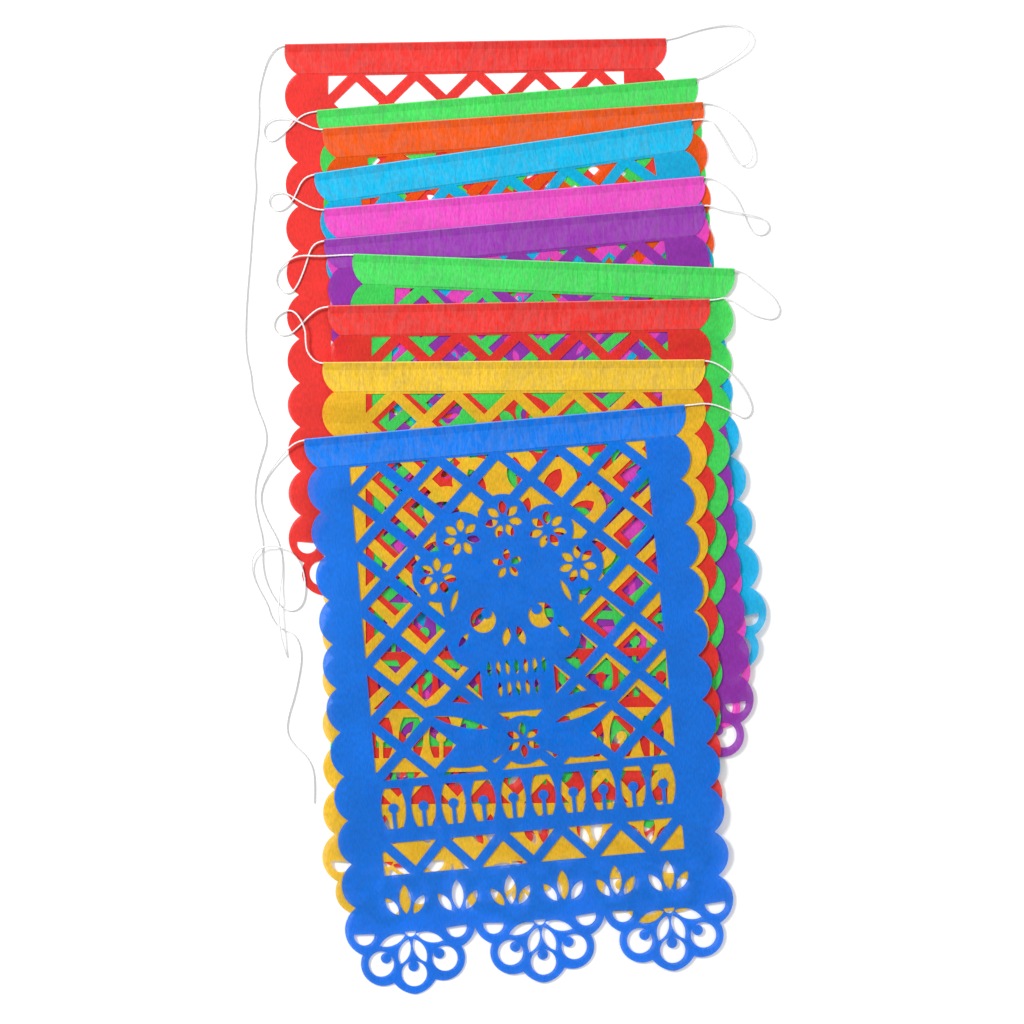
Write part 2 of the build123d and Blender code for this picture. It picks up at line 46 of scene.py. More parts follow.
cameraData = bpy.data.cameras.new("camera")
cameraData.lens = view["lens"]
cameraData.sensor_width = view["sensor"]
camera = bpy.data.objects.new("camera", cameraData)
camera.location = (*view["over"], view["height"])
bpy.context.scene.collection.objects.link(camera)
bpy.context.scene.camera = camera

# how the sheets lie, bottom one first: fold's middle in mm, turn in degrees, paper
pile = {
    "levelStep": 0.4 * mm,
    "middle": (-0.8, -3.6),
    "hemWidth": 343.0,
    "foldHalf": 170.7,
    "foldRadius": 1.2,
    "sheets": [
        ("sheet_01_red", -45.5, 422.5, 0.9, "red_paper"),
        ("sheet_02_green", -17.5, 375.0, 4.9, "green_paper"),
        ("sheet_03_orange", -12.0, 356.0, 4.0, "orange_paper"),
        ("sheet_04_cyan", -21.0, 328.0, 8.2, "cyan_paper"),
        ("sheet_05_pink", -11.0, 286.5, 4.9, "pink_paper"),
        ("sheet_06_purple", -11.0, 260.0, 5.3, "purple_paper"),
        ("sheet_07_green", 16.0, 225.0, -2.2, "green_paper"),
        ("sheet_08_red", -6.5, 188.0, 1.0, "red_paper"),
        ("sheet_09_yellow", -11.0, 135.5, 0.4, "yellow_paper"),
        ("sheet_10_blue", -28.5, 81.0, 5.2, "blue_paper"),
    ],
}


def sheetPlace(index):
    x, y, turn = pile["sheets"][index][1:4]
    spot = Vector(((x - pile["middle"][0]) * mm, (y - pile["middle"][1]) * mm, 0))
    return spot, math.radians(turn)


# each point is its reach past the hem's nominal end, its y, its rise in sheet levels
# and, at a crossing, how many diameters it is lifted over the strand below
string = {
    "diameter": 1.7,
    "beyondHem": 5.5,
    "insideHem": 10.0,
    "plies": 2,
    "layLength": 7.0,
    "ringStep": 0.9,
    "grooveDepth": 0.16,
    "longTail": [
        (59.5, 409, 1), (65, 392.5, 0), (69, 373.5, 0), (68.3, 352.5, 0), (70, 332, 0),
        (73, 312, 0), (70.5, 291, 0), (74, 264, 0), (76, 231, 0), (79, 197, 0),
        (80.7, 166, 0), (80, 141, 0), (75.5, 123.5, 0), (74.5, 108, 0), (69.5, 91.5, 0),
        (63, 77, 0), (61, 62, 0), (66.5, 46, 0), (71.5, 28, 0), (72.5, 9, 0),
        (69, -9, 0), (64.5, -25, 0), (65.5, -42, 0), (63.5, -58, 0), (58, -72, 0),
        (50, -84, 0), (39, -90, 0.5), (29.5, -84.5, 0.6), (26, -71, 0.6), (27.5, -55, 0.8),
        (32.5, -42.5, 4), (42, -33.5, 0.5, 2.3), (55.5, -29.5, 0.5, 2.3), (69, -33, 0.5, 2.3),
        (75, -44, 4), (73.5, -58, 0.5), (67.5, -71, 0), (60.5, -83, 0), (57, -95.5, 0),
        (49.5, -104.5, 0), (39, -107.5, 0), (32, -117, 0), (30, -131, 0), (32.5, -147, 0),
        (36.5, -166, 0), (42.5, -184, 0), (43.5, -199, 0), (36, -210, 0), (25.5, -219, 0),
        (19.5, -230.5, 0), (18.3, -246, 0), (18.8, -261, 0),
    ],
    "loops": [
        [
            (-23.5, 430.5, 0.5), (-6.5, 435, 2), (9.5, 437.5, 5), (22.5, 435.5, 9),
            (29.5, 427, 11), (27.5, 417.5, 10), (18.5, 409, 7), (4.5, 399.5, 3),
        ],
        [
            (31, 355, 1.2), (39.5, 345.5, 0.8), (48.5, 337, 0.2), (56.5, 331.5, 0), (63.5, 336, 0),
            (64, 345, 0), (57.5, 353, 4), (42, 354, 1, 2.2), (28, 347.5, 1, 2.2),
        ],
        [
            (6.5, 362, 2), (19, 350.5, 3), (28.5, 337, 5), (32, 322, 8), (30, 313.5, 9),
            (23, 309.5, 9), (15.5, 314.5, 8), (9, 326.5, 6), (2, 340, 4.5), (-6, 352, 3.4),
        ],
        [
            (30.5, 295.5, 2.2), (34, 287, 1.1), (40, 275.5, 0.9), (49.5, 269, 0), (58, 272.5, 0),
            (60, 281, 1), (54, 287.5, 4.2), (43, 285.8, 1, 2.2), (28.5, 276, 1.2, 2.2),
        ],
        [
            (5.5, 293.5, 3.5), (15.5, 284, 2), (22, 272.5, 0.3), (26.5, 260, 0), (31.5, 250.5, 0),
            (41, 247.5, 0.2), (47.5, 254, 0.5), (43, 262.5, 3), (31.5, 265.8, 0, 2.2),
            (16.5, 269, 0.5, 2.2), (6.5, 270.2, 6.3), (0, 272, 5.9),
        ],
        [
            (21.5, 236.5, 3), (24.5, 226.5, 1), (28.5, 214.5, 0.7), (33.5, 203, 0.6),
            (39.5, 195.5, 0.6), (48, 197.5, 0), (53.5, 206, 0), (51, 216.5, 0.2), (43, 225, 4.2),
            (31, 230, 1.2, 2.2), (15.5, 229, 1.4, 2.2), (3.5, 229.5, 8),
        ],
        [
            (31.5, 207.5, 4.5), (42.5, 200, 1.5), (52.5, 190.5, 0), (57, 180, 0), (51.5, 172.5, 0),
            (40.5, 174, 1), (28.5, 178.5, 4.4), (17.5, 186.5, 7.4), (7.5, 192.5, 8.1),
        ],
        [
            (20.5, 178.5, 4.5), (33, 165, 1.2), (41, 158.5, 0.5), (50, 158.5, 0), (55.5, 165.5, 0),
            (53, 174.5, 0), (45.5, 180, 0.8), (39, 181, 4.5), (32.5, 176.5, 1.5, 2.4),
            (26, 163.5, 1.5, 2.4), (26, 152, 8.6), (24.5, 142.5, 8.6),
        ],
        [
            (7.5, 128.5, 8.4), (19, 117, 6.4), (28, 103.5, 2), (32, 91, 0), (25.5, 83, 1),
            (15, 88.5, 6.9), (3, 94.5, 9), (-9.5, 97.5, 10),
        ],
    ],
    "shortTail": [
        (42.5, 56.5, 7), (52.5, 44.5, 3), (61.5, 31.5, 0.6), (67, 17.5, 0), (66, 3.5, 0),
        (60, -10, 0), (52, -23.5, 0), (47.5, -38.5, 0), (47, -55, 1), (49, -68, 4),
        (49.5, -77, 0.5, 2.3), (50.5, -91, 0.5, 2.3), (48, -111, 0.5, 2.3), (45.5, -121, 4),
        (43, -130, 0),
    ],
}


def foldPoint(index, across):
    spot, turn = sheetPlace(index)
    right = Vector((math.cos(turn), math.sin(turn), 0))
    down = Vector((math.sin(turn), -math.cos(turn), 0))
    lift = index * pile["levelStep"] + pile["foldRadius"] * mm
    depth = pile["foldRadius"] * mm
    return spot + right * across + down * depth + Vector((0, 0, lift))


def hemRun(index, side):
    end = (pile["foldHalf"] + string["beyondHem"]) * mm
    inside = (pile["foldHalf"] - string["insideHem"]) * mm
    run = [foldPoint(index, across) for across in (-end, -inside, inside, end)]
    return run if side < 0 else run[::-1]


def freeRun(stretch, side):
    run = []
    for out, y, levels, *lift in stretch:
        x = side * (pile["hemWidth"] / 2 + out) - pile["middle"][0]
        rise = levels * pile["levelStep"] + sum(lift) * string["diameter"] * mm
        z = string["diameter"] / 2 * mm + rise
        run.append(Vector((x * mm, (y - pile["middle"][1]) * mm, z)))
    return run


def stringRoute():
    route = freeRun(reversed(string["longTail"]), -1)
    side = -1
    for index in range(len(pile["sheets"])):
        route += hemRun(index, side)
        side = -side
        if index < len(string["loops"]):
            route += freeRun(string["loops"][index], side)
    return route + freeRun(string["shortTail"], -1)


def newCurve(name, points):
    data = bpy.data.curves.new(name, "CURVE")
    data.dimensions = "3D"
    spline = data.splines.new("NURBS")
    spline.points.add(len(points) - 1)
    for place, point in zip(spline.points, points):
        place.co = (*point, 1)
    spline.order_u = 3
    spline.use_endpoint_u = True
    data.resolution_u = 12
    spline.resolution_u = 12
    made = bpy.data.objects.new(name, data)
    bpy.context.scene.collection.objects.link(made)
    return made


def centreLine(curve):
    mesh = bpy.data.meshes.new_from_object(curve)
    line = [tuple(vertex.co) for vertex in mesh.vertices]
    bpy.data.meshes.remove(mesh)
    return line


def newTree(name, sockets):
    tree = bpy.data.node_groups.new(name, "GeometryNodeTree")
    tree.interface.new_socket("Geometry", in_out="INPUT", socket_type="NodeSocketGeometry")
    for label, kind, value in sockets:
        made = tree.interface.new_socket(label, in_out="INPUT", socket_type=kind)
        if value is not None:
            made.default_value = value
    tree.interface.new_socket("Geometry", in_out="OUTPUT", socket_type="NodeSocketGeometry")
    return tree


def node(tree, kind, at=(0, 0), **settings):
    made = tree.nodes.new(kind)
    made.location = at
    for name, value in settings.items():
        setattr(made, name, value)
    return made


def maths(tree, operation, first, second=None, at=(0, 0)):
    made = node(tree, "ShaderNodeMath", at, operation=operation)
    for socket, value in zip(made.inputs, (first, second)):
        if value is None:
            continue
        if hasattr(value, "is_linked"):
            tree.links.new(value, socket)
        else:
            socket.default_value = value
    return made.outputs[0]


def treeInput(tree, modifier, label, value):
    for item in tree.interface.items_tree:
        if item.in_out == "INPUT" and item.name == label:
            modifier[item.identifier] = value


def baked(maker, name):
    graph = bpy.context.evaluated_depsgraph_get()
    mesh = bpy.data.meshes.new_from_object(maker.evaluated_get(graph))
    mesh.name = name
    made = bpy.data.objects.new(name, mesh)
    bpy.context.scene.collection.objects.link(made)
    bpy.data.objects.remove(maker)
    return made


def pliedStringTree():
    tree = newTree("pliedString", [
        ("Radius", "NodeSocketFloat", 0.00085), ("Plies", "NodeSocketFloat", 2.0),
        ("Lay Length", "NodeSocketFloat", 0.007), ("Ring Step", "NodeSocketFloat", 0.0009),
        ("Groove Depth", "NodeSocketFloat", 0.16), ("Material", "NodeSocketMaterial", None),
    ])
    link = tree.links.new
    given = node(tree, "NodeGroupInput", (-1400, 0))
    rings = node(tree, "GeometryNodeResampleCurve", (-1000, 200), mode="LENGTH")
    link(given.outputs["Geometry"], rings.inputs["Curve"])
    link(given.outputs["Ring Step"], rings.inputs["Length"])
    along = node(tree, "GeometryNodeSplineParameter", (-1200, -100))
    turns = maths(tree, "DIVIDE", along.outputs["Length"], given.outputs["Lay Length"], (-1000, -100))
    tilt = maths(tree, "MULTIPLY", turns, 2 * math.pi, (-800, -100))
    twisted = node(tree, "GeometryNodeSetCurveTilt", (-600, 200))
    link(rings.outputs["Curve"], twisted.inputs["Curve"])
    link(tilt, twisted.inputs["Tilt"])
    circle = node(tree, "GeometryNodeCurvePrimitiveCircle", (-1000, -400))
    circle.inputs["Resolution"].default_value = 10
    link(given.outputs["Radius"], circle.inputs["Radius"])
    place = node(tree, "GeometryNodeInputPosition", (-1400, -600))
    split = node(tree, "ShaderNodeSeparateXYZ", (-1200, -600))
    link(place.outputs["Position"], split.inputs["Vector"])
    angle = maths(tree, "ARCTAN2", split.outputs["Y"], split.outputs["X"], (-1000, -600))
    lobes = maths(tree, "MULTIPLY", angle, given.outputs["Plies"], (-800, -600))
    wave = maths(tree, "COSINE", lobes, None, (-600, -600))
    grooves = maths(tree, "SUBTRACT", wave, 1.0, (-400, -600))
    pulled = maths(tree, "MULTIPLY", grooves, given.outputs["Groove Depth"], (-200, -600))
    share = maths(tree, "MULTIPLY", pulled, 0.5, (0, -600))
    inward = node(tree, "ShaderNodeVectorMath", (200, -500), operation="SCALE")
    link(place.outputs["Position"], inward.inputs["Vector"])
    link(share, inward.inputs["Scale"])
    lobed = node(tree, "GeometryNodeSetPosition", (400, -300))
    link(circle.outputs["Curve"], lobed.inputs["Geometry"])
    link(inward.outputs["Vector"], lobed.inputs["Offset"])
    tube = node(tree, "GeometryNodeCurveToMesh", (600, 100))
    tube.inputs["Fill Caps"].default_value = True
    link(twisted.outputs["Curve"], tube.inputs["Curve"])
    link(lobed.outputs["Geometry"], tube.inputs["Profile Curve"])
    smooth = node(tree, "GeometryNodeSetShadeSmooth", (800, 100))
    link(tube.outputs["Mesh"], smooth.inputs["Geometry"])
    real = node(tree, "GeometryNodeRealizeInstances", (1000, 100))
    link(smooth.outputs["Geometry"], real.inputs["Geometry"])
    painted = node(tree, "GeometryNodeSetMaterial", (1200, 100))
    link(real.outputs["Geometry"], painted.inputs["Geometry"])
    link(given.outputs["Material"], painted.inputs["Material"])
    end = node(tree, "NodeGroupOutput", (1400, 100))
    link(painted.outputs["Geometry"], end.inputs["Geometry"])
    return tree


def cottonMaterial():
    material = bpy.data.materials.new("white_string")
    material.use_nodes = True
    tree = material.node_tree
    link = tree.links.new
    shader = tree.nodes["Principled BSDF"]
    shader.inputs["Roughness"].default_value = 0.9
    shader.inputs["Specular IOR Level"].default_value = 0.2
    shader.inputs["Sheen Weight"].default_value = 0.3
    where = node(tree, "ShaderNodeTexCoord", (-1000, 0))
    fuzz = node(tree, "ShaderNodeTexNoise", (-750, 0))
    fuzz.inputs["Scale"].default_value = 2600
    fuzz.inputs["Detail"].default_value = 3
    link(where.outputs["Object"], fuzz.inputs["Vector"])
    tone = node(tree, "ShaderNodeValToRGB", (-500, 100))
    tone.color_ramp.elements[0].position = 0.3
    tone.color_ramp.elements[1].position = 0.65
    tone.color_ramp.elements[0].color = (0.60, 0.595, 0.585, 1)
    tone.color_ramp.elements[1].color = (0.82, 0.82, 0.81, 1)
    link(fuzz.outputs["Fac"], tone.inputs["Fac"])
    link(tone.outputs["Color"], shader.inputs["Base Color"])
    bump = node(tree, "ShaderNodeBump", (-500, -200))
    bump.inputs["Strength"].default_value = 0.4
    bump.inputs["Distance"].default_value = 0.0002
    link(fuzz.outputs["Fac"], bump.inputs["Height"])
    link(bump.outputs["Normal"], shader.inputs["Normal"])
    return material


route = stringRoute()
routeCurve = newCurve("string_route", route)
stringLine = centreLine(routeCurve)
cotton = cottonMaterial()
plied = pliedStringTree()
modifier = routeCurve.modifiers.new("plies", "NODES")
modifier.node_group = plied
treeInput(plied, modifier, "Radius", string["diameter"] / 2 * mm)
treeInput(plied, modifier, "Plies", float(string["plies"]))
treeInput(plied, modifier, "Lay Length", string["layLength"] * mm)
treeInput(plied, modifier, "Ring Step", string["ringStep"] * mm)
treeInput(plied, modifier, "Groove Depth", string["grooveDepth"])
treeInput(plied, modifier, "Material", cotton)
cord = baked(routeCurve, "cotton_string")
lineLength = sum((Vector(a) - Vector(b)).length for a, b in zip(stringLine, stringLine[1:]))
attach(cord, "root")
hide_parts("string")
print("string", len(route), "points,", round(lineLength, 3), "m,", len(cord.data.polygons), "faces")

# colour of one layer of each paper over white, in linear light
tissue = {
    "red_paper": (0.98, 0.045, 0.035),
    "green_paper": (0.08, 0.86, 0.14),
    "orange_paper": (1.0, 0.12, 0.002),
    "cyan_paper": (0.0, 0.60, 0.98),
    "pink_paper": (0.99, 0.09, 0.68),
    "purple_paper": (0.40, 0.05, 0.55),
    "yellow_paper": (1.0, 0.66, 0.035),
    "blue_paper": (0.0, 0.24, 0.98),
}
paper = {
    "wallAlpha": 0.61,
    "hemAlpha": 0.78,
    "lightThrough": 0.20,
    "hemLightThrough": 0.12,
    "roughness": 0.72,
    "fibre": (700.0, 230.0),      # fibres to the metre, across and along the sheet
    "fibreShade": 0.20,
    "cloud": 30.0,
    "cloudShade": 0.14,
    "glueBlot": 170.0,
    "glueShade": 0.16,
    "glueLight": 0.035,
    # painted highlight: a thin lighter band along the fold's crest, where light catches the rounded fold
    "paintedFoldHighlight": 0.16,
    # where the hem's flap ends, and how dark the painted shadow line along that edge is
    "flapEdge": 26.9 * mm,
    "flapEdgeShadow": 0.24,
    "crinkle": (330.0, 75.0),      # crinkles to the metre in the hem
    "crinkleShare": 7.0,           # their height beside the fibres'
    "bumpDepth": 0.10 * mm,
}


def scaled(tree, vector, factors, at):
    made = node(tree, "ShaderNodeVectorMath", at, operation="MULTIPLY")
    tree.links.new(vector, made.inputs[0])
    made.inputs[1].default_value = factors
    return made.outputs["Vector"]


def shade(tree, source, low, high, dark, at):
    made = node(tree, "ShaderNodeMapRange", at)
    made.inputs["From Min"].default_value = low
    made.inputs["From Max"].default_value = high
    made.inputs["To Min"].default_value = dark
    made.inputs["To Max"].default_value = 1.0
    tree.links.new(source, made.inputs["Value"])
    return made.outputs["Result"]


def tissuePaper(name):
    material = bpy.data.materials.new(name)
    material.use_nodes = True
    tree = material.node_tree
    link = tree.links.new
    shader = tree.nodes["Principled BSDF"]
    shader.inputs["Roughness"].default_value = paper["roughness"]
    shader.inputs["Specular IOR Level"].default_value = 0.2
    where = node(tree, "ShaderNodeUVMap", (-1900, 0), uv_map="sheetPlan")
    grainPlace = scaled(tree, where.outputs["UV"], (*paper["fibre"], 1), (-1700, 200))
    grain = node(tree, "ShaderNodeTexNoise", (-1500, 200))
    grain.inputs["Scale"].default_value = 1.0
    grain.inputs["Detail"].default_value = 3
    link(grainPlace, grain.inputs["Vector"])
    cloud = node(tree, "ShaderNodeTexNoise", (-1500, -50))
    cloud.inputs["Scale"].default_value = paper["cloud"]
    cloud.inputs["Detail"].default_value = 5
    link(where.outputs["UV"], cloud.inputs["Vector"])
    blotPlace = scaled(tree, where.outputs["UV"], (1.0, 0.45, 1), (-1700, -300))
    blot = node(tree, "ShaderNodeTexNoise", (-1500, -300))
    blot.inputs["Scale"].default_value = paper["glueBlot"]
    blot.inputs["Detail"].default_value = 4
    blot.inputs["Distortion"].default_value = 0.6
    link(blotPlace, blot.inputs["Vector"])
    hem = node(tree, "ShaderNodeAttribute", (-1500, -600), attribute_name="doubled")
    fibreTone = shade(tree, grain.outputs["Fac"], 0.35, 0.65, 1 - paper["fibreShade"], (-1200, 200))
    cloudTone = shade(tree, cloud.outputs["Fac"], 0.3, 0.7, 1 - paper["cloudShade"], (-1200, -50))
    glueTone = shade(tree, blot.outputs["Fac"], 0.35, 0.65, 1 - paper["glueShade"], (-1200, -300))
    inHem = hem.outputs["Fac"]
    lessHem = maths(tree, "SUBTRACT", glueTone, 1.0, (-850, -300))
    hemPart = maths(tree, "MULTIPLY", lessHem, inHem, (-700, -300))
    hemFactor = maths(tree, "ADD", hemPart, 1.0, (-550, -300))
    both = maths(tree, "MULTIPLY", fibreTone, cloudTone, (-1000, 100))
    body = maths(tree, "MULTIPLY", both, hemFactor, (-400, 0))
    depth = node(tree, "ShaderNodeSeparateXYZ", (-1500, -800))
    link(where.outputs["UV"], depth.inputs["Vector"])
    # painted shadow: a thin, uneven darker line along the flap's lower edge
    fromEdge = maths(tree, "SUBTRACT", depth.outputs["Y"], paper["flapEdge"], (-1300, -800))
    edgeGap = maths(tree, "ABSOLUTE", fromEdge, None, (-1150, -800))
    wander = maths(tree, "MULTIPLY_ADD", cloud.outputs["Fac"], -1.6 * mm, (-1300, -950))
    wander.node.inputs[2].default_value = 1.6 * mm
    edgeWidth = maths(tree, "DIVIDE", edgeGap, wander, (-1000, -800))
    flapEdgeShadowTone = shade(tree, edgeWidth, 0.25, 0.8, 1 - paper["flapEdgeShadow"], (-850, -800))
    tone = maths(tree, "MULTIPLY", body, flapEdgeShadowTone, (-250, 0))
    colour = node(tree, "ShaderNodeVectorMath", (-50, 100), operation="SCALE")
    colour.inputs[0].default_value = tissue[name]
    link(tone, colour.inputs["Scale"])
    pale = shade(tree, blot.outputs["Fac"], 0.62, 0.40, 0.0, (-1200, -500))
    paleHem = maths(tree, "MULTIPLY", pale, inHem, (-850, -500))
    paleGlue = maths(tree, "MULTIPLY", paleHem, paper["glueLight"], (-700, -500))
    # painted highlight: colour lightened within about 1 mm of the fold
    foldHighlightBand = shade(tree, depth.outputs["Y"], 1.1 * mm, 0.5 * mm, 0.0, (-1200, -1000))
    paintedFoldHighlightAmount = maths(tree, "MULTIPLY", foldHighlightBand, paper["paintedFoldHighlight"], (-850, -1000))
    # lighter glue blots in the hem plus the painted fold highlight, added to the colour as grey
    glueBlotsAndFoldHighlight = maths(tree, "ADD", paleGlue, paintedFoldHighlightAmount, (-500, -500))
    lift = node(tree, "ShaderNodeCombineXYZ", (-300, -500))
    for axis in "XYZ":
        link(glueBlotsAndFoldHighlight, lift.inputs[axis])
    colour2 = node(tree, "ShaderNodeVectorMath", (150, 100), operation="ADD")
    link(colour.outputs["Vector"], colour2.inputs[0])
    link(lift.outputs["Vector"], colour2.inputs[1])
    colour = colour2
    link(colour.outputs["Vector"], shader.inputs["Base Color"])
    moreWall = maths(tree, "MULTIPLY_ADD", inHem, paper["hemAlpha"] - paper["wallAlpha"], (-850, -1200))
    moreWall.node.inputs[2].default_value = paper["wallAlpha"]
    link(moreWall, shader.inputs["Alpha"])
    creasePlace = scaled(tree, where.outputs["UV"], (*paper["crinkle"], 1), (-1700, -1200))
    crease = node(tree, "ShaderNodeTexNoise", (-1500, -1200))
    crease.inputs["Scale"].default_value = 1.0
    crease.inputs["Detail"].default_value = 2
    crease.inputs["Distortion"].default_value = 0.4
    link(creasePlace, crease.inputs["Vector"])
    centred = maths(tree, "SUBTRACT", crease.outputs["Fac"], 0.5, (-1300, -1200))
    ridge = maths(tree, "ABSOLUTE", centred, None, (-1150, -1200))
    ridges = maths(tree, "MULTIPLY", ridge, -paper["crinkleShare"], (-1000, -1200))
    hemRidges = maths(tree, "MULTIPLY", ridges, inHem, (-850, -1350))
    relief = maths(tree, "ADD", grain.outputs["Fac"], hemRidges, (-500, -1200))
    bump = node(tree, "ShaderNodeBump", (-200, -300))
    bump.inputs["Strength"].default_value = 1.0
    bump.inputs["Distance"].default_value = paper["bumpDepth"]
    link(relief, bump.inputs["Height"])
    link(bump.outputs["Normal"], shader.inputs["Normal"])
    through = node(tree, "ShaderNodeBsdfTranslucent", (100, -300))
    link(colour.outputs["Vector"], through.inputs["Color"])
    mix = node(tree, "ShaderNodeMixShader", (400, 0))
    less = maths(tree, "MULTIPLY_ADD", inHem, paper["hemLightThrough"] - paper["lightThrough"], (100, -500))
    less.node.inputs[2].default_value = paper["lightThrough"]
    link(less, mix.inputs["Fac"])
    link(shader.outputs["BSDF"], mix.inputs[1])
    link(through.outputs["BSDF"], mix.inputs[2])
    link(mix.outputs["Shader"], tree.nodes["Material Output"].inputs["Surface"])
    return material


# how a sheet lies: sizes of its dips, gathers and the cuts that let it bend
lie = {
    "cutStep": 9 * mm,
    "hemSteps": (1.0 * mm, 3.2 * mm),
    "hemDepth": 28 * mm,
    "rippleHeight": 1.5 * mm,
    "rippleSize": 95 * mm,
    "calmNearString": (7 * mm, 26 * mm),
    "sagWidth": 45 * mm,
    "bodyLoft": 0.55 * mm,
    "edgeCurl": 0.9 * mm,
    "flapEnd": 27.8 * mm,
}
gather = {
    "height": 2.8 * mm,
    "size": 150.0,           # gathers to the metre
    "stretch": 0.22,         # how much slower they change down the hem
    "coarseHeight": 0.9 * mm,
    "coarseSize": 75.0,
    "fade": (16 * mm, 42 * mm),
    "dimpleHeight": 0.12 * mm,
    "dimpleSize": 60.0,
}


def smooth(value, low, high):
    t = np.clip((value - low) / (high - low), 0, 1)
    return t * t * (3 - 2 * t)


def ownPlan(index, points):
    spot, turn = sheetPlace(index)
    dx = points[:, 0] - spot.x
    dy = points[:, 1] - spot.y
    across = dx * math.cos(turn) + dy * math.sin(turn)
    depth = dx * math.sin(turn) - dy * math.cos(turn)
    return across, depth


def support(index, points):
    across, depth = ownPlan(index, points)
    width = lie["sagWidth"]
    return (1 - smooth(np.abs(across), 0.160, 0.160 + width)) * (1 - smooth(depth, 0.480, 0.480 + width))


freeString = [point for point in stringLine if abs(point[0]) > 0.16]
stringTree = KDTree(len(freeString))
for place, point in enumerate(freeString):
    stringTree.insert((point[0], point[1], 0), place)
stringTree.balance()


def nearString(points):
    return np.array([stringTree.find((x, y, 0))[2] for x, y in points[:, :2]])


def calm(points):
    free = smooth(nearString(points), *lie["calmNearString"])
    for index in range(len(pile["sheets"])):
        across, depth = ownPlan(index, points)
        free *= smooth(np.abs(depth - 0.004), 0.008, 0.045)
    return free


def loft(index, points):
    across, depth = ownPlan(index, points)
    side = np.abs(across)
    inside = (1 - smooth(side, 0.176, 0.215)) * (1 - smooth(depth, 0.500, 0.545)) * smooth(depth, 0.01, 0.05)
    curl = smooth(side, 0.140, 0.176) + smooth(depth, 0.455, 0.505)
    uneven = 0.55 + 0.45 * np.sin(depth * 47 + 2.3 * index + 1.3 * np.sign(across)) * np.cos(across * 31 + index)
    return inside * (lie["bodyLoft"] + lie["edgeCurl"] * curl * uneven)


def ripples(points):
    size = lie["rippleSize"]
    x = points[:, 0] / size
    y = points[:, 1] / size
    waves = np.sin(2.1 * x + 1.3 * y + 0.6) + np.sin(-1.7 * x + 2.6 * y + 2.0)
    waves += 0.6 * np.sin(4.1 * x + 0.9 * y) + 0.5 * np.sin(1.2 * x - 5.1 * y + 1.0)
    return lie["rippleHeight"] * (waves + 3.1) / 6.2


def bent(index, points):
    across, depth = ownPlan(index, points)
    full = index * pile["levelStep"]
    sagged = np.zeros(len(points))
    for lower in range(index):
        sagged += pile["levelStep"] * support(lower, points)
    held = 1 - smooth(depth, 0.02, 0.12)
    lofts = sum(loft(lower, points) for lower in range(index + 1))
    moved = points.copy()
    moved[:, 2] += (sagged - full) * (1 - held) + (ripples(points) + lofts) * calm(points)
    return moved, across, depth


def cutAlong(bm, faces, spot, way, first, last, step):
    edges = {edge for face in faces for edge in face.edges}
    verts = {vert for face in faces for vert in face.verts}
    stock = list(verts) + list(edges) + list(faces)
    at = first
    while at < last:
        made = bmesh.ops.bisect_plane(bm, geom=stock, dist=1e-7, plane_co=spot + way * at, plane_no=way)
        stock = made["geom"]
        at += step
    return [item for item in stock if isinstance(item, bmesh.types.BMFace)]


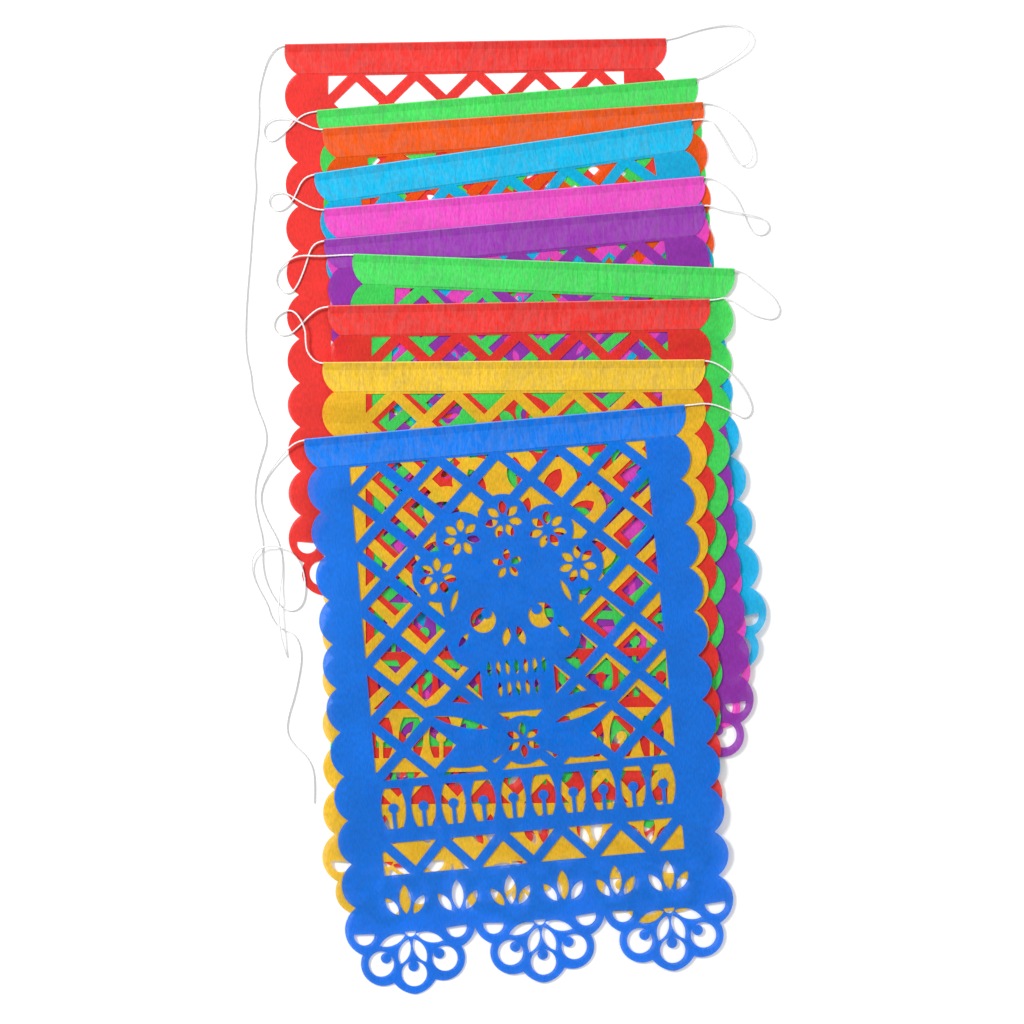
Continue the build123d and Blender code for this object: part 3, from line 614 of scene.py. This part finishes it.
def gatheredHemTree():
    tree = newTree("gatheredHem", [
        ("Height", "NodeSocketFloat", 0.0003), ("Size", "NodeSocketFloat", 250.0),
        ("Stretch", "NodeSocketFloat", 0.2), ("Coarse Height", "NodeSocketFloat", 0.0003),
        ("Coarse Size", "NodeSocketFloat", 70.0), ("Fade Start", "NodeSocketFloat", 0.016),
        ("Fade End", "NodeSocketFloat", 0.042), ("Dimple Height", "NodeSocketFloat", 0.0001),
        ("Dimple Size", "NodeSocketFloat", 60.0), ("Seed", "NodeSocketFloat", 0.0),
        ("Material", "NodeSocketMaterial", None),
    ])
    link = tree.links.new
    given = node(tree, "NodeGroupInput", (-1800, 0))
    plan = node(tree, "GeometryNodeInputNamedAttribute", (-1800, -500), data_type="FLOAT_VECTOR")
    plan.inputs["Name"].default_value = "plan"
    split = node(tree, "ShaderNodeSeparateXYZ", (-1600, -500))
    link(plan.outputs["Attribute"], split.inputs["Vector"])
    slow = maths(tree, "MULTIPLY", split.outputs["Y"], given.outputs["Stretch"], (-1400, -400))
    folds = node(tree, "ShaderNodeCombineXYZ", (-1200, -400))
    link(split.outputs["X"], folds.inputs["X"])
    link(slow, folds.inputs["Y"])

    def relief(size, height, at, ridged):
        noise = node(tree, "ShaderNodeTexNoise", at, noise_dimensions="4D")
        noise.inputs["Detail"].default_value = 2.0
        link(folds.outputs["Vector"], noise.inputs["Vector"])
        link(given.outputs["Seed"], noise.inputs["W"])
        link(given.outputs[size], noise.inputs["Scale"])
        centred = maths(tree, "SUBTRACT", noise.outputs["Fac"], 0.5, (at[0] + 200, at[1]))
        if ridged:
            valley = maths(tree, "ABSOLUTE", centred, None, (at[0] + 300, at[1] - 150))
            shallow = maths(tree, "MINIMUM", valley, 0.17, (at[0] + 300, at[1] - 300))
            centred = maths(tree, "SUBTRACT", 0.12, shallow, (at[0] + 300, at[1]))
        return maths(tree, "MULTIPLY", centred, given.outputs[height], (at[0] + 400, at[1]))

    fine = relief("Size", "Height", (-900, -200), True)
    coarse = relief("Coarse Size", "Coarse Height", (-900, -500), False)
    gathers = maths(tree, "ADD", fine, coarse, (-300, -300))
    fade = node(tree, "ShaderNodeMapRange", (-300, -600), interpolation_type="SMOOTHSTEP")
    link(split.outputs["Y"], fade.inputs["Value"])
    link(given.outputs["Fade Start"], fade.inputs["From Min"])
    link(given.outputs["Fade End"], fade.inputs["From Max"])
    fade.inputs["To Min"].default_value = 1.0
    fade.inputs["To Max"].default_value = 0.0
    free = maths(tree, "MULTIPLY", fade.outputs["Result"], split.outputs["Z"], (-100, -600))
    held = maths(tree, "MULTIPLY", gathers, free, (0, -300))
    place = node(tree, "GeometryNodeInputPosition", (-900, -800))
    flat = node(tree, "ShaderNodeVectorMath", (-700, -800), operation="MULTIPLY")
    link(place.outputs["Position"], flat.inputs[0])
    flat.inputs[1].default_value = (1, 1, 0)
    dimples = node(tree, "ShaderNodeTexNoise", (-500, -800))
    dimples.inputs["Detail"].default_value = 1.0
    link(flat.outputs["Vector"], dimples.inputs["Vector"])
    link(given.outputs["Dimple Size"], dimples.inputs["Scale"])
    dimple = maths(tree, "MULTIPLY", dimples.outputs["Fac"], given.outputs["Dimple Height"], (-200, -800))
    rise = maths(tree, "ADD", held, dimple, (200, -400))
    offset = node(tree, "ShaderNodeCombineXYZ", (400, -400))
    link(rise, offset.inputs["Z"])
    moved = node(tree, "GeometryNodeSetPosition", (600, 0))
    link(given.outputs["Geometry"], moved.inputs["Geometry"])
    link(offset.outputs["Vector"], moved.inputs["Offset"])
    real = node(tree, "GeometryNodeRealizeInstances", (800, 0))
    link(moved.outputs["Geometry"], real.inputs["Geometry"])
    painted = node(tree, "GeometryNodeSetMaterial", (1000, 0))
    link(real.outputs["Geometry"], painted.inputs["Geometry"])
    link(given.outputs["Material"], painted.inputs["Material"])
    end = node(tree, "NodeGroupOutput", (1200, 0))
    link(painted.outputs["Geometry"], end.inputs["Geometry"])
    return tree


def laidSheet(index):
    name, x, y, turn, slot = pile["sheets"][index]
    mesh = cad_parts[name].data.copy()
    maker = bpy.data.objects.new(name + "_maker", mesh)
    bpy.context.scene.collection.objects.link(maker)
    bm = bmesh.new()
    bm.from_mesh(mesh)
    bmesh.ops.remove_doubles(bm, verts=bm.verts, dist=2e-6)
    bmesh.ops.dissolve_limit(bm, angle_limit=0.02, verts=bm.verts, edges=bm.edges)
    spot, angle = sheetPlace(index)
    right = Vector((math.cos(angle), math.sin(angle), 0))
    down = Vector((math.sin(angle), -math.cos(angle), 0))
    cutAlong(bm, bm.faces[:], spot, down, lie["hemDepth"], 0.505, lie["cutStep"])
    hemFaces = [f for f in bm.faces if (f.calc_center_median() - spot).dot(down) < lie["hemDepth"]]
    bodyFaces = [f for f in bm.faces if (f.calc_center_median() - spot).dot(down) >= lie["hemDepth"]]
    hemFaces = cutAlong(bm, hemFaces, spot, down, 3 * mm, lie["hemDepth"], lie["hemSteps"][1])
    cutAlong(bm, hemFaces, spot, right, -0.17, 0.1715, lie["hemSteps"][0])
    cutAlong(bm, bodyFaces, spot, right, -0.17, 0.1745, lie["cutStep"])
    bmesh.ops.triangulate(bm, faces=bm.faces)
    bm.to_mesh(mesh)
    bm.free()
    count = len(mesh.vertices)
    points = np.empty(count * 3)
    mesh.vertices.foreach_get("co", points)
    points = points.reshape(count, 3)
    moved, across, depth = bent(index, points)
    mesh.vertices.foreach_set("co", moved.reshape(-1))
    free = np.ones(count)
    if index + 1 < len(pile["sheets"]):
        nextAcross, nextDepth = ownPlan(index + 1, points)
        free = 1 - 0.85 * smooth(nextDepth, -0.006, 0.0)
    plan = mesh.attributes.new("plan", "FLOAT_VECTOR", "POINT")
    plan.data.foreach_set("vector", np.stack([across, depth, free], axis=1).reshape(-1))
    corners = np.empty(len(mesh.loops), dtype=np.int32)
    mesh.loops.foreach_get("vertex_index", corners)
    flat = mesh.uv_layers.new(name="sheetPlan")
    flat.data.foreach_set("uv", np.stack([across, depth], axis=1)[corners].astype(np.float32).reshape(-1))
    inHem = depth < lie["flapEnd"]
    doubled = inHem[corners].reshape(-1, 3).all(axis=1).repeat(3).astype(np.float32)
    layers = mesh.attributes.new("doubled", "FLOAT", "CORNER")
    layers.data.foreach_set("value", doubled)
    mesh.update()
    modifier = maker.modifiers.new("gathers", "NODES")
    modifier.node_group = hemTree
    settings = {
        "Height": gather["height"], "Size": gather["size"], "Stretch": gather["stretch"],
        "Coarse Height": gather["coarseHeight"], "Coarse Size": gather["coarseSize"],
        "Fade Start": gather["fade"][0], "Fade End": gather["fade"][1],
        "Dimple Height": gather["dimpleHeight"], "Dimple Size": gather["dimpleSize"],
        "Seed": 3.7 * index, "Material": papers[slot],
    }
    for label, value in settings.items():
        treeInput(hemTree, modifier, label, value)
    sheet = baked(maker, name + "_paper")
    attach(sheet, "root")
    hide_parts(name)
    return sheet


papers = {name: tissuePaper(name) for name in tissue}
hemTree = gatheredHemTree()
for index in range(len(pile["sheets"])):
    sheet = laidSheet(index)

# plain floor, and two soft lamps with a pale sky
studio = {
    "floorHalf": 3.0,
    "floorTop": -0.4 * mm,
    "floorWhite": 0.9,
    "lamps": [("upper_left", (-2.2, 1.3, 2.3), 1.0, 118), ("upper_right", (1.6, 1.4, 2.6), 1.0, 20)],
    "sky": 0.60,
}


def plainFloor():
    half = studio["floorHalf"]
    z = studio["floorTop"]
    mesh = bpy.data.meshes.new("floor")
    mesh.from_pydata([(-half, -half, z), (half, -half, z), (half, half, z), (-half, half, z)], [], [(0, 1, 2, 3)])
    floor = bpy.data.objects.new("floor", mesh)
    bpy.context.scene.collection.objects.link(floor)
    material = bpy.data.materials.new("floor_white")
    material.use_nodes = True
    shader = material.node_tree.nodes["Principled BSDF"]
    white = studio["floorWhite"]
    shader.inputs["Base Color"].default_value = (white, white, white, 1)
    shader.inputs["Roughness"].default_value = 0.9
    shader.inputs["Specular IOR Level"].default_value = 0.1
    mesh.materials.append(material)


def softLamp(name, at, size, power):
    light = bpy.data.lights.new(name, "AREA")
    light.shape = "DISK"
    light.size = size
    light.energy = power
    lamp = bpy.data.objects.new(name, light)
    lamp.location = at
    lamp.rotation_euler = (-Vector(at)).to_track_quat("-Z", "Y").to_euler()
    bpy.context.scene.collection.objects.link(lamp)


plainFloor()
for name, at, size, power in studio["lamps"]:
    softLamp(name, at, size, power)
world = bpy.data.worlds.new("studio")
world.use_nodes = True
world.node_tree.nodes["Background"].inputs["Color"].default_value = (1, 1, 1, 1)
world.node_tree.nodes["Background"].inputs["Strength"].default_value = studio["sky"]
bpy.context.scene.world = world
bpy.context.scene.view_settings.view_transform = "Standard"
